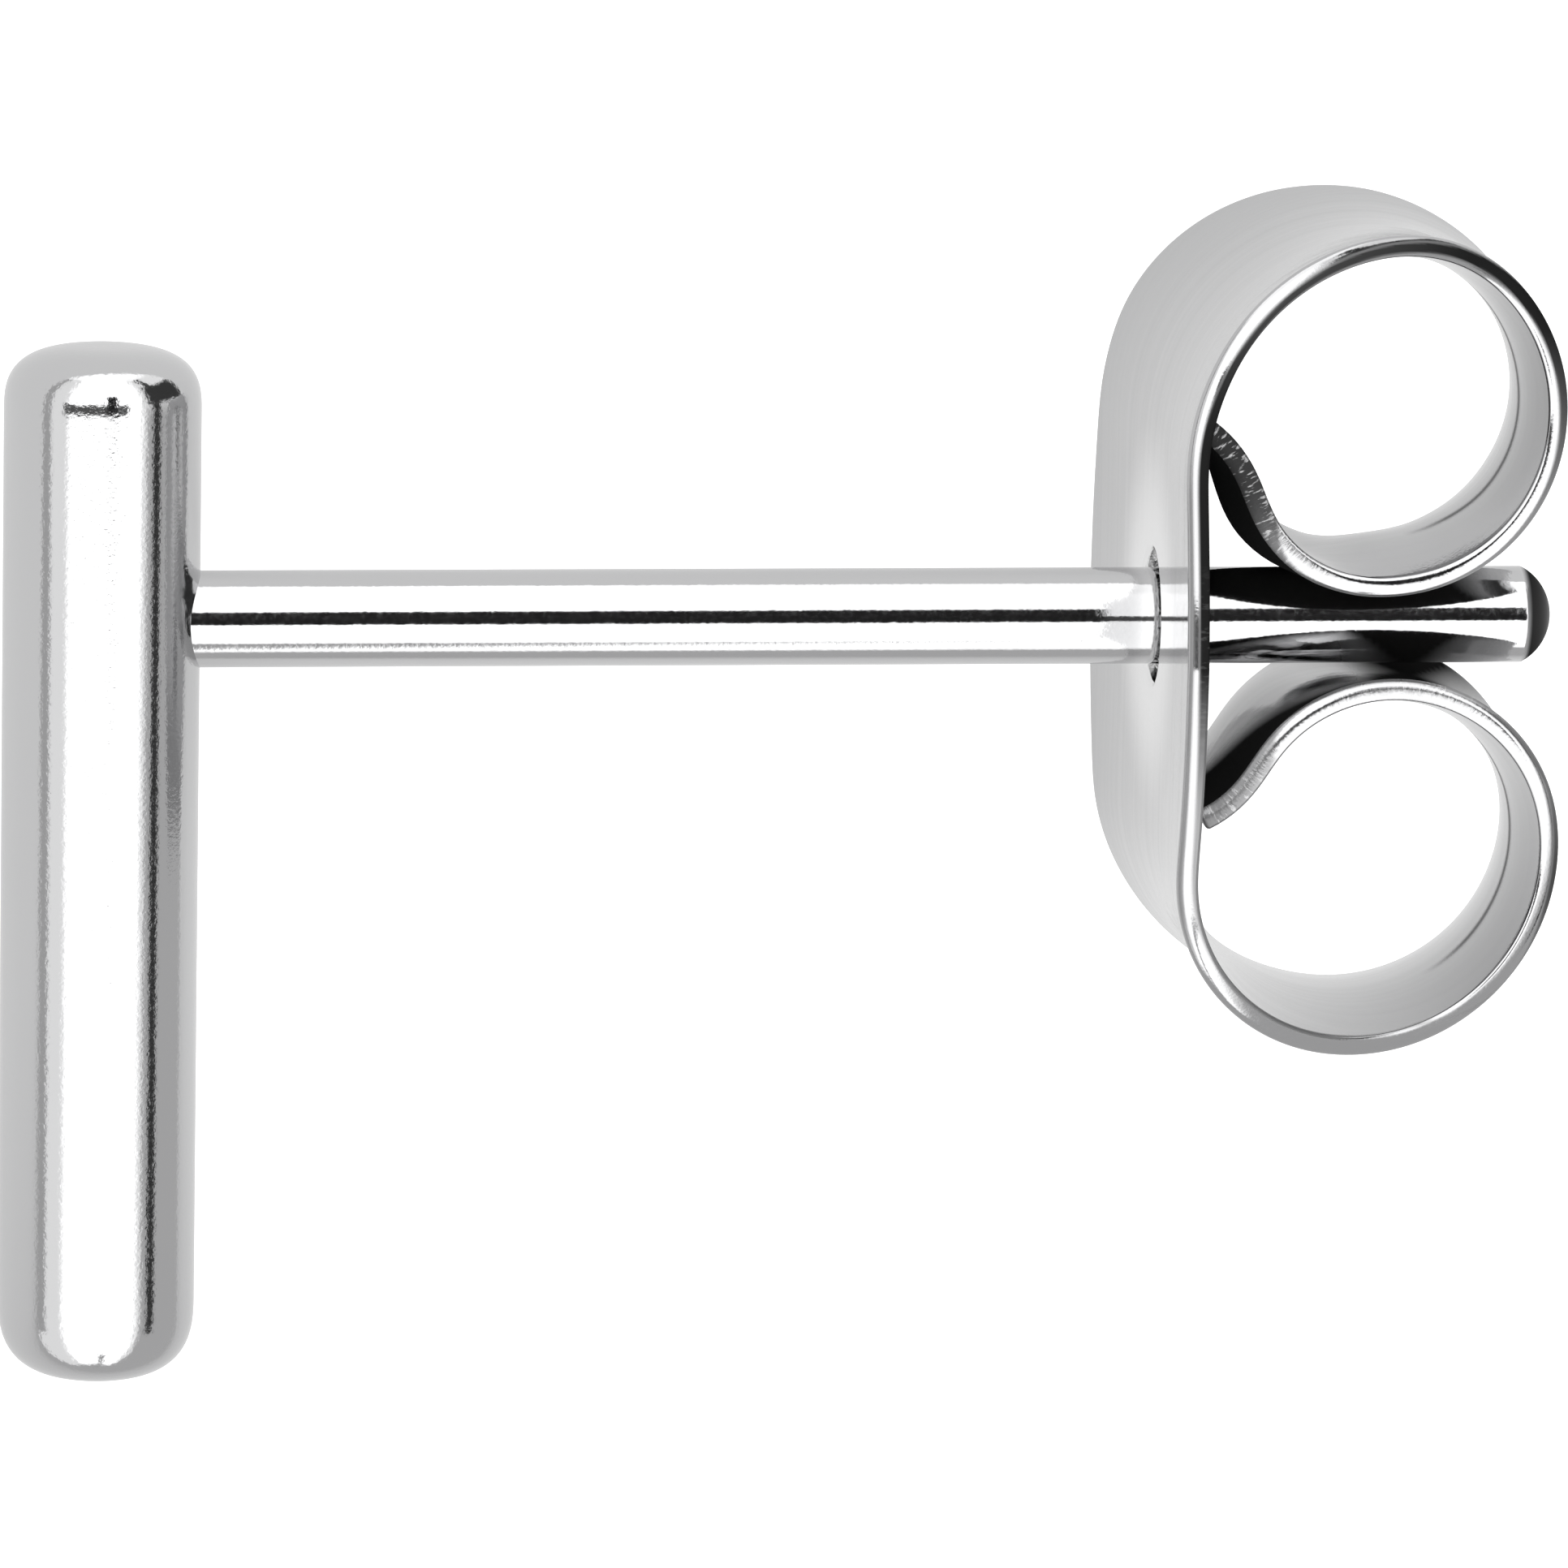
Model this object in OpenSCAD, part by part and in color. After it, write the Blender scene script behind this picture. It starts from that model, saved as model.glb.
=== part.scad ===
// Bar stud earring: a round polished bar with a post soldered across its back near the top,
// and a friction clutch, one piece of sheet whose two arms curl round to hold the post.
// The earring lies as it comes to rest by itself: along the side of the bar and on the rim
// of the clutch's plate. Sizes are in millimetres, +Z is up, and the origin is the middle
// of the floor under the earring.

/* [Bar] */
// Diameter of the round bar
bar_d = 1.64; // [1.5:0.02:1.8]
// Length of the bar over its rounded ends
bar_l = 8.72; // [8:0.02:10]
// Radius of the edge round the bar's top end
bar_top_edge = 0.42; // [0.2:0.02:0.5]
// Radius of the edge round the bar's foot
bar_foot_edge = 0.6; // [0.3:0.02:0.7]
// Distance from the bar's top end down to the post's axis
post_drop = 2.3; // [2:0.01:2.6]

/* [Post] */
// Diameter of the post's wire
post_d = 0.81; // [0.7:0.01:0.9]
// Distance from the bar's axis to the post's tip
post_reach = 12.18; // [11.8:0.02:13]
// Height of the rounded tip
tip_h = 0.25; // [0.2:0.01:0.3]

/* [Clutch plate] */
// Thickness of the clutch's sheet
sheet_t = 0.18; // [0.14:0.01:0.2]
// Distance from the bar's axis to the face of the plate
face_x = 8.7; // [8.4:0.02:8.8]
// Width of the plate across its middle
plate_w = 5.7; // [5.5:0.02:5.9]
// Radius of the plate's two curved sides
plate_side_r = 3.5; // [3.3:0.1:4]
// Diameter of the hole that the post passes through
hole_d = 1.14; // [1:0.02:1.2]

/* [Clutch arms] */
// Width of an arm at its shoulder, beyond the plate's curved side
shoulder_w = 4.8; // [4.6:0.02:5]
// Radius that rounds the shoulder in toward the crown
shoulder_round = 1.06; // [0.9:0.02:1.2]
// Width of an arm at the crown of its curl
crown_w = 3.3; // [3:0.02:3.5]
// Length over which an arm narrows behind its crown
neck_l = 1.2; // [1:0.02:1.4]
// Width of an arm where it lies beside the post
strip_w = 2.1; // [1.8:0.02:2.3]
// Gap between the post and the arm that curls beside it
grip_gap = 0.03; // [0.02:0.01:0.06]

/* [Upper curl] */
// Length of flat plate above the post's axis
upper_flat = 1.56; // [1.5:0.01:1.6]
// Outer radius of the bend from the plate up to the crown
upper_crown_r = 1.87; // [1.83:0.01:1.9]
// Outer radius of the bend down from the crown
upper_loop_r = 1.58; // [1.5:0.01:1.6]
// Outer radius of the arm's last bend
upper_end_r = 1.6; // [1.5:0.01:1.62]
// Turn of the last bend in degrees
upper_end_turn = 70; // [50:1:71]

/* [Lower curl] */
// Length of flat plate below the post's axis
lower_flat = 1.73; // [1.7:0.01:1.8]
// Outer radius of the bend from the plate up to the crown
lower_crown_r = 1.78; // [1.74:0.01:1.8]
// Outer radius of the bend down from the crown
lower_loop_r = 1.67; // [1.6:0.01:1.69]
// Outer radius of the arm's last bend
lower_end_r = 1.8; // [1.6:0.01:1.82]
// Turn of the last bend in degrees
lower_end_turn = 70; // [50:1:71]

/* [Hidden] */
$fn = 96;
STEEL = [0.78, 0.78, 0.79];

bar_r = bar_d / 2;
post_r = post_d / 2;
// Radius of the ball that the tip is a cap of
tip_r = (post_r * post_r + tip_h * tip_h) / (2 * tip_h);

// Distance from the post's axis out to each curl's crown
upper_height = upper_flat + upper_crown_r;
lower_height = lower_flat + lower_crown_r;
clutch_back = face_x + max(upper_crown_r + upper_loop_r, lower_crown_r + lower_loop_r);
// Distance from the post's axis to the nearest face of an arm
grip_y = post_r + grip_gap;

// The bends of an arm in order from the plate to its end: outer radius, turn in degrees
UPPER_BENDS = [
    [upper_crown_r, 90],
    [upper_loop_r, 90],
    [upper_height - upper_loop_r - grip_y, 90],
    [upper_end_r, upper_end_turn]
];
LOWER_BENDS = [
    [lower_crown_r, 90],
    [lower_loop_r, 90],
    [lower_height - lower_loop_r - grip_y, 90],
    [lower_end_r, lower_end_turn]
];

// Tilt of the post when the bar's side and the plate's rim both touch the floor
rim_far = norm([face_x, plate_w / 2]);
rest_tilt = atan(plate_w / 2 / face_x) - asin(bar_r / rim_far);
// Middle of the floor that the earring covers, measured from under the bar's axis
floor_max_x = clutch_back * cos(rest_tilt) + strip_w / 2 * sin(rest_tilt);
floor_mid_x = (floor_max_x - bar_r) / 2;
floor_mid_y = (upper_height + post_drop - bar_l) / 2;

// What rounding takes off a square corner at the origin. side is 1 over the foot, -1 under the top.
module corner_waste(r, side) {
    difference() {
        translate([-r, side > 0 ? 0 : -r]) square([2 * r, r]);
        translate([-r, side * r]) circle(r);
    }
}

// Half of the bar's outline, standing on its foot
module bar_half() {
    difference() {
        square([bar_r, bar_l]);
        translate([bar_r, 0]) corner_waste(bar_foot_edge, 1);
        translate([bar_r, bar_l]) corner_waste(bar_top_edge, -1);
    }
}

// Half of the post's outline, from the bar's axis to the tip
module post_half() {
    intersection() {
        square([post_r, post_reach]);
        union() {
            square([post_r, post_reach - tip_h]);
            translate([0, post_reach - tip_r]) circle(tip_r);
        }
    }
}

// Carries its children past one bend, whose outer face starts at the origin and heads for +Y
module past(bend) {
    translate([bend[0], 0, 0]) rotate(-bend[1]) translate([-bend[0], 0, 0]) children();
}

// One bend of the sheet, turning toward +X
module bend_sheet(bend, width) {
    translate([bend[0], 0, 0])
        mirror([1, 0, 0])
            rotate_extrude(angle = bend[1])
                translate([bend[0] - sheet_t, -width / 2]) square([sheet_t, width]);
}

// The bends of an arm from number first to number last, each in its place
module run(bends, first, last, width, i = 0) {
    if (i >= first) bend_sheet(bends[i], width);
    if (i < last) past(bends[i]) run(bends, first, last, width, i + 1);
}

// Outline of the plate and of one arm up to its crown, seen along the post
module front_outline(height) {
    round_y = height - shoulder_round;
    round_z = shoulder_w / 2 - shoulder_round;
    depth = clutch_back - face_x;
    translate([face_x, 0, -shoulder_w / 2]) cube([depth, round_y, shoulder_w]);
    translate([face_x, 0, -crown_w / 2]) cube([depth, height, crown_w]);
    for (side = [-1, 1])
        translate([face_x, round_y, side * round_z])
            rotate([0, 90, 0]) cylinder(r = shoulder_round, h = depth);
}

// Outline of an arm behind its crown, seen along the bar: narrows to the strip's width
module back_outline(crown_x, height) {
    neck_drop = (crown_w - strip_w) / 2;
    neck_r = (neck_l * neck_l + neck_drop * neck_drop) / (2 * neck_drop);
    difference() {
        translate([crown_x, 0, -crown_w / 2]) cube([neck_l, height, crown_w]);
        for (side = [-1, 1])
            translate([crown_x + neck_l, 0, side * (strip_w / 2 + neck_r)])
                rotate([-90, 0, 0]) cylinder(r = neck_r, h = height);
    }
    translate([crown_x + neck_l, 0, -strip_w / 2]) cube([neck_l, height, strip_w]);
}

// One arm above the post: wide up to its crown, narrowing behind it, then a plain strip
module arm(flat, bends) {
    height = flat + bends[0][0];
    intersection() {
        translate([face_x, flat, 0]) run(bends, 0, 0, plate_w);
        front_outline(height);
    }
    intersection() {
        translate([face_x, flat, 0]) run(bends, 1, 1, plate_w);
        back_outline(face_x + bends[0][0], height);
    }
    translate([face_x, flat, 0]) run(bends, 2, 3, strip_w);
}

// The flat plate: its sides are two arcs and its shoulders run on into the arms
module plate() {
    side_z = plate_side_r - plate_w / 2;
    intersection() {
        translate([face_x, -lower_flat, -plate_w / 2])
            cube([sheet_t, upper_flat + lower_flat, plate_w]);
        union() {
            intersection_for (side = [-1, 1])
                translate([face_x, 0, side * side_z])
                    rotate([0, 90, 0]) cylinder(r = plate_side_r, h = sheet_t);
            translate([face_x, -lower_flat, -shoulder_w / 2])
                cube([sheet_t, upper_flat + lower_flat, shoulder_w]);
        }
    }
}

// Lays its children down in the resting pose, over the middle of the floor they cover
module at_rest() {
    translate([-floor_mid_x, -floor_mid_y, bar_r]) rotate([0, -rest_tilt, 0]) children();
}

// Bar and post, soldered into one piece
module bar_post() {
    color(STEEL) at_rest() {
        rotate([-90, 0, 0]) translate([0, 0, post_drop - bar_l]) rotate_extrude() bar_half();
        rotate([0, 90, 0]) rotate_extrude() post_half();
    }
}

// The clutch: plate and two arms, one piece of sheet, bored for the post
module clutch() {
    color(STEEL) at_rest() {
        difference() {
            plate();
            translate([face_x - sheet_t, 0, 0]) rotate([0, 90, 0])
                cylinder(d = hole_d, h = 3 * sheet_t);
        }
        arm(upper_flat, UPPER_BENDS);
        mirror([0, 1, 0]) arm(lower_flat, LOWER_BENDS);
    }
}

bar_post();
clutch();
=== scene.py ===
"""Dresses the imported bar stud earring: polished bar and post, curled clutch, pale floor and soft light."""

from __future__ import annotations

import logging
import math
from dataclasses import dataclass, field
from enum import Enum

import bpy
import numpy as np
from mathutils import Matrix, Vector


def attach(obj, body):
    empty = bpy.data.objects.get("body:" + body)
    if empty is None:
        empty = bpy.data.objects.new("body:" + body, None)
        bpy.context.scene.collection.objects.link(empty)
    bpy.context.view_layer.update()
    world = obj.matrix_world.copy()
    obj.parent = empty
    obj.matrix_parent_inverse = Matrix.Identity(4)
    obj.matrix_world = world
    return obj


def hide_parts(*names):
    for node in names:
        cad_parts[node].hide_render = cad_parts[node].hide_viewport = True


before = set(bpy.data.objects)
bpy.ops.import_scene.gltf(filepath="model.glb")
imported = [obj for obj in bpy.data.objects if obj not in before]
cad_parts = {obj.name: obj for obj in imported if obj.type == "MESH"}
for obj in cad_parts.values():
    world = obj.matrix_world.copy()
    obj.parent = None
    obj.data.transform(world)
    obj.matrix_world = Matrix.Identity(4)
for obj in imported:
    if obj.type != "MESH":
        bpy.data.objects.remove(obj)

LOG = logging.getLogger("earring")
MM = 0.001
Socket = bpy.types.NodeSocket
Array = np.ndarray
Table = tuple[tuple[float, ...], ...]
Color = tuple[float, float, float, float]
GRAIN_SPAN = (0.3, 0.7)


class Part(Enum):
    """The CAD node that a piece stands for."""

    BAR_POST = "bar_post"
    CLUTCH = "clutch"


class Body(Enum):
    """The CAD body that a piece moves with."""

    ORNAMENT = "ornament"
    BACK = "back"


@dataclass(frozen=True)
class RestPose:
    """How the earring lies: sizes in mm, in a frame with +X along the post and +Y along the bar."""

    bar_r: float = 0.82
    bar_top: float = 2.3
    bar_foot: float = -6.42
    face_x: float = 8.7
    plate_half: float = 2.85
    back_x: float = 12.15
    strip_half: float = 1.05
    crown_y: float = 3.43

    @property
    def tilt(self) -> float:
        """Angle in radians at which the bar's side and the plate's rim both touch the floor."""
        reach = math.hypot(self.face_x, self.plate_half)
        return math.atan(self.plate_half / self.face_x) - math.asin(self.bar_r / reach)

    @property
    def axes(self) -> Array:
        """Rows are the directions of the post, the bar and the depth, in the row frame."""
        c, s = math.cos(self.tilt), math.sin(self.tilt)
        return np.array([[c, 0.0, s], [0.0, 1.0, 0.0], [-s, 0.0, c]])

    @property
    def origin(self) -> Array:
        """Where the bar's axis and the post's axis cross, in mm in the row frame."""
        c, s = math.cos(self.tilt), math.sin(self.tilt)
        mid_x = (self.back_x * c + self.strip_half * s - self.bar_r) / 2
        mid_y = (self.crown_y + self.bar_foot) / 2
        return np.array([-mid_x, -mid_y, self.bar_r])

    def place(self, points: Array) -> Array:
        """Carries points from the earring's own frame, in mm, to the row frame, in metres.

        Args:
            points: array whose last axis holds x, y and depth.

        Returns:
            An array of the same shape.
        """
        return (points @ self.axes + self.origin) * MM


POSE = RestPose()


@dataclass(frozen=True)
class Surface:
    """A mesh worked out as arrays: corner points, faces, and values that follow the surface."""

    points: Array
    faces: list[Array]
    uv: Array
    cut: Array
    # Painted shade and painted reflection, 0 to 1: where 1, the metal is flat and dark.
    dark: Array

    def build(self, name: str, part: Part, body: Body, material: bpy.types.Material) -> bpy.types.Object:
        """Makes the Blender object, at the origin, ties it to its body and hides the CAD node that it stands
        for.

        Args:
            name: the piece's name.
            part: the CAD node that it stands for.
            body: the CAD body that it moves with.
            material: its finish.

        Returns:
            The new object.
        """
        mesh = bpy.data.meshes.new(name)
        faces = [row for block in self.faces for row in block.tolist()]
        mesh.from_pydata(POSE.place(self.points), [], faces)
        mesh.update()
        mesh.polygons.foreach_set("use_smooth", np.ones(len(mesh.polygons), bool))
        corners = np.empty(len(mesh.loops), np.int32)
        mesh.loops.foreach_get("vertex_index", corners)
        layer = mesh.uv_layers.new(name="sheet")
        layer.data.foreach_set("uv", self.uv[corners].astype(np.float32).ravel())
        for label, values in (("cut", self.cut), ("dark", self.dark)):
            layer = mesh.attributes.new(label, "FLOAT", "POINT")
            layer.data.foreach_set("value", np.clip(values, 0.0, 1.0).astype(np.float32))
        mesh.materials.append(material)
        obj = bpy.data.objects.new(name, mesh)
        bpy.context.scene.collection.objects.link(obj)
        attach(obj, body.value)
        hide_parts(part.value)
        LOG.info("%s: %d points, %d faces", name, len(mesh.vertices), len(mesh.polygons))
        return obj


def arc(centre: tuple[float, float], radius: float, start: float, stop: float, count: int) -> Array:
    """Points on a circular arc: centre plus radius times the cosine and sine of evenly spaced angles.

    Args:
        centre: the arc's centre.
        radius: its radius.
        start: first angle in degrees.
        stop: last angle in degrees.
        count: number of points.

    Returns:
        A count by 2 array.
    """
    angle = np.radians(np.linspace(start, stop, count))
    return np.stack([centre[0] + radius * np.cos(angle), centre[1] + radius * np.sin(angle)], 1)


def turned(profile: Array, along: Array, segments: int, dark: Array) -> Surface:
    """Turns a profile round an axis: each ring is the axis point plus radius times a unit circle.

    Args:
        profile: rows of radius and distance along the axis, from pole to pole, the poles at radius 0.
        along: 3 by 3 rows: two directions across the axis, then the axis.
        segments: points round a ring.
        dark: how much painted shade each row of the profile takes, from 0 to 1, where 1 is flat dark metal.

    Returns:
        The closed surface, with one point at each pole.
    """
    angle = np.linspace(0, 2 * math.pi, segments, endpoint=False)
    rings = profile[1:-1]
    circle = np.cos(angle)[:, None] * along[0] + np.sin(angle)[:, None] * along[1]
    body = rings[:, 0, None, None] * circle[None] + rings[:, 1, None, None] * along[2]
    poles = profile[[0, -1], 1][:, None] * along[2]
    count = len(rings)
    points = np.concatenate([body.reshape(-1, 3), poles])
    step = np.arange(segments)
    after = (step + 1) % segments
    row = np.arange(count - 1)[:, None] * segments
    quads = np.stack([row + step, row + after, row + segments + after, row + segments + step], 2)
    first, last = count * segments, count * segments + 1
    top = (count - 1) * segments
    start_fan = np.stack([np.full(segments, first), after, step], 1)
    stop_fan = np.stack([np.full(segments, last), top + step, top + after], 1)
    travel = np.concatenate([[0.0], np.cumsum(np.hypot(*np.diff(profile, axis=0).T))])
    around = np.broadcast_to(angle * profile[:, 0].max(), (count, segments))
    length = np.broadcast_to(travel[1:-1, None], (count, segments))
    uv = np.concatenate([np.stack([length, around], 2).reshape(-1, 2), [[0, 0], [travel[-1], 0]]])
    shade = np.concatenate([np.repeat(dark[1:-1], segments), dark[[0, -1]]])
    return Surface(points, [quads.reshape(-1, 4), start_fan, stop_fan], uv, np.zeros(len(points)), shade)


@dataclass
class BarAndPost:
    """The round bar and the post soldered across it. Sizes in mm.

    top_round and foot_round give the depth of an end's rounding, its power across and its power along.
    tip_painted_shade is how dark the painted reflection on the tip's rim is, and tip_shade_lifted how much
    less of it the tip's middle takes. The rows count the profile's points in each stretch.
    """

    bar_r: float = 0.82
    top: float = 2.295
    foot: float = -6.41
    top_round: tuple[float, float, float] = (0.54, 3.13, 2.88)
    foot_round: tuple[float, float, float] = (0.7, 3.0, 2.85)
    post_r: float = 0.405
    tip_x: float = 12.18
    tip_h: float = 0.25
    tip_ease: float = 0.05
    # Painted dark reflection on the tip: its strength at the rim, and how much less the middle takes.
    tip_painted_shade: float = 1.0
    tip_shade_lifted: float = 0.5
    segments: int = 192
    end_rows: int = 120
    side_rows: int = 60
    shank_rows: int = 80
    cap_rows: int = 24
    ease_rows: int = 10

    def _end(self, shape: tuple[float, float, float]) -> Array:
        """Half outline of one end, from its pole out to the bar's side.

        (radius / bar radius) to the power across, plus (height / depth) to the power along, is 1.

        Args:
            shape: depth of the rounding, then its power across and its power along.

        Returns:
            Rows of radius and depth below the pole.
        """
        depth, across, along = shape
        turn = np.radians(np.linspace(90, 0, self.end_rows))
        radius = self.bar_r * np.cos(turn).clip(0.0, 1.0) ** (2 / across)
        height = depth * np.sin(turn) ** (2 / along)
        radius[0] = 0.0
        return np.stack([radius, height - depth], 1)

    def bar(self) -> Surface:
        """The bar: the outline of its two ends joined by a straight side, turned round the bar's axis."""
        upper = self._end(self.top_round) + [0.0, self.top]
        lower = self._end(self.foot_round) * [1.0, -1.0] + [0.0, self.foot]
        side = np.linspace(lower[-1], upper[-1], self.side_rows)[1:-1]
        profile = np.concatenate([lower, side, upper[::-1]])
        along = np.array([[0.0, 0.0, 1.0], [1.0, 0.0, 0.0], [0.0, 1.0, 0.0]])
        return turned(profile, along, self.segments, np.zeros(len(profile)))

    def post(self) -> Surface:
        """The post: a cylinder from the bar's axis to a tip that is a cap of a ball, its crease eased.

        ball = (radius^2 + height^2) / (2 height), and the crease is an arc tangent to ball and cylinder.

        Returns:
            The closed surface, with a painted dark reflection on the tip.
        """
        ball = (self.post_r**2 + self.tip_h**2) / (2 * self.tip_h)
        inner = ball - self.tip_ease
        seat = self.post_r - self.tip_ease
        lean = math.degrees(math.asin(seat / inner))
        centre_x = self.tip_x - ball
        ease_x = centre_x + math.sqrt(inner * inner - seat * seat)
        cap = arc((0.0, centre_x), ball, 90, 90 - lean, self.cap_rows)
        ease = arc((seat, ease_x), self.tip_ease, 90 - lean, 0, self.ease_rows)
        tip = np.concatenate([cap, ease[1:]])
        reach = np.linspace(0.0, tip[-1, 1], self.shank_rows)
        shank = np.stack([np.full(self.shank_rows, self.post_r), reach], 1)
        profile = np.concatenate([[[0.0, 0.0]], shank[:-1], tip[::-1]])
        along = np.array([[0.0, 1.0, 0.0], [0.0, 0.0, 1.0], [1.0, 0.0, 0.0]])
        past = np.clip((profile[:, 1] - ease_x) / self.tip_ease, 0.0, 1.0)
        # Painted dark reflection on the tip, strongest at its rim.
        dark = past * (self.tip_painted_shade - self.tip_shade_lifted * (1 - profile[:, 0] / self.post_r) ** 2)
        return turned(profile, along, self.segments // 2, dark)

    def build(self, cast: "PolishedSteel", drawn: "PolishedSteel") -> None:
        """Makes both pieces, each in its own finish."""
        self.bar().build("bar", Part.BAR_POST, Body.ORNAMENT, cast.material())
        self.post().build("post", Part.BAR_POST, Body.ORNAMENT, drawn.material())


@dataclass(frozen=True)
class Arm:
    """One arm of the clutch: its bends from the plate outward, then tables along it. Sizes in mm.

    radii and turns give the bends, end and end_turn the last stretch, which bends the other way. Each table's
    first column is the distance along the arm. Its other columns are:
        widths: half the width.
        dish: depth of the dish across the arm, then how far the rim stands square to the flat sheet instead.
        scored: how far the rim is scored.
        shade: painted shade, for dark reflections and shade near the post: how dark the outer face is, how
            far dark reaches in from its near rim, how dark the inner is.
        band: a painted dark band on the rim, partly its rough sheared zone and partly painted reflection:
            where it starts and stops, from -1 outside to 1 inside, and how dark it is.
    """

    plate_x: float
    flat: float
    radii: tuple[float, ...]
    turns: tuple[float, ...]
    end: float
    end_turn: float
    widths: Table
    dish: Table
    scored: Table
    shade: Table
    band: Table
    ease: float = 0.14
    step: float = 0.004

    @property
    def length(self) -> float:
        """Length of the arm along its outer face, from the post's axis."""
        arcs = sum(r * math.radians(t) for r, t in zip(self.radii, self.turns))
        return self.flat + arcs + self.end

    def path(self) -> tuple[Array, Array, Array, Array]:
        """The outer face's line: curvature constant in each bend, eased over a short run, then summed twice.

        Returns:
            Distance along the arm, x, y, and the heading in radians from +Y toward +X.
        """
        count = int(self.length / self.step) + 1
        s = np.linspace(0.0, self.length, count)
        curve = np.zeros(count)
        at = self.flat
        for radius, turn in zip(self.radii, self.turns):
            span = radius * math.radians(turn)
            curve += np.where((s >= at) & (s < at + span), 1 / radius, 0.0)
            at += span
        curve += np.where(s >= at, math.radians(self.end_turn) / self.end, 0.0)
        reach = int(3 * self.ease / self.step)
        window = np.exp(-0.5 * (np.arange(-reach, reach + 1) * self.step / self.ease) ** 2)
        padded = np.pad(curve, reach, mode="edge")
        curve = np.convolve(padded, window / window.sum(), "valid")
        ds = s[1] - s[0]
        heading = np.concatenate([[0.0], np.cumsum((curve[1:] + curve[:-1]) / 2 * ds)])
        middle = (heading[1:] + heading[:-1]) / 2
        x = self.plate_x + np.concatenate([[0.0], np.cumsum(np.sin(middle) * ds)])
        y = np.concatenate([[0.0], np.cumsum(np.cos(middle) * ds)])
        return s, x, y, heading


def eased(table: Table, at: Array, column: int = 1) -> Array:
    """Reads a short table of position and values along a smooth curve: cubic between rows, with mean slopes.

    Args:
        table: rows of position, then one or more values.
        at: positions to read.
        column: which value to read.

    Returns:
        The values there.
    """
    rows = np.array(table)
    x, y = rows[:, 0], rows[:, column]
    slope = np.gradient(y, x)
    at = np.clip(at, x[0], x[-1])
    i = np.clip(np.searchsorted(x, at) - 1, 0, len(x) - 2)
    span = x[i + 1] - x[i]
    t = (at - x[i]) / span
    return (
        (1 + 2 * t) * (1 - t) ** 2 * y[i]
        + t * (1 - t) ** 2 * span * slope[i]
        + t * t * (3 - 2 * t) * y[i + 1]
        + t * t * (t - 1) * span * slope[i + 1]
    )


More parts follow.
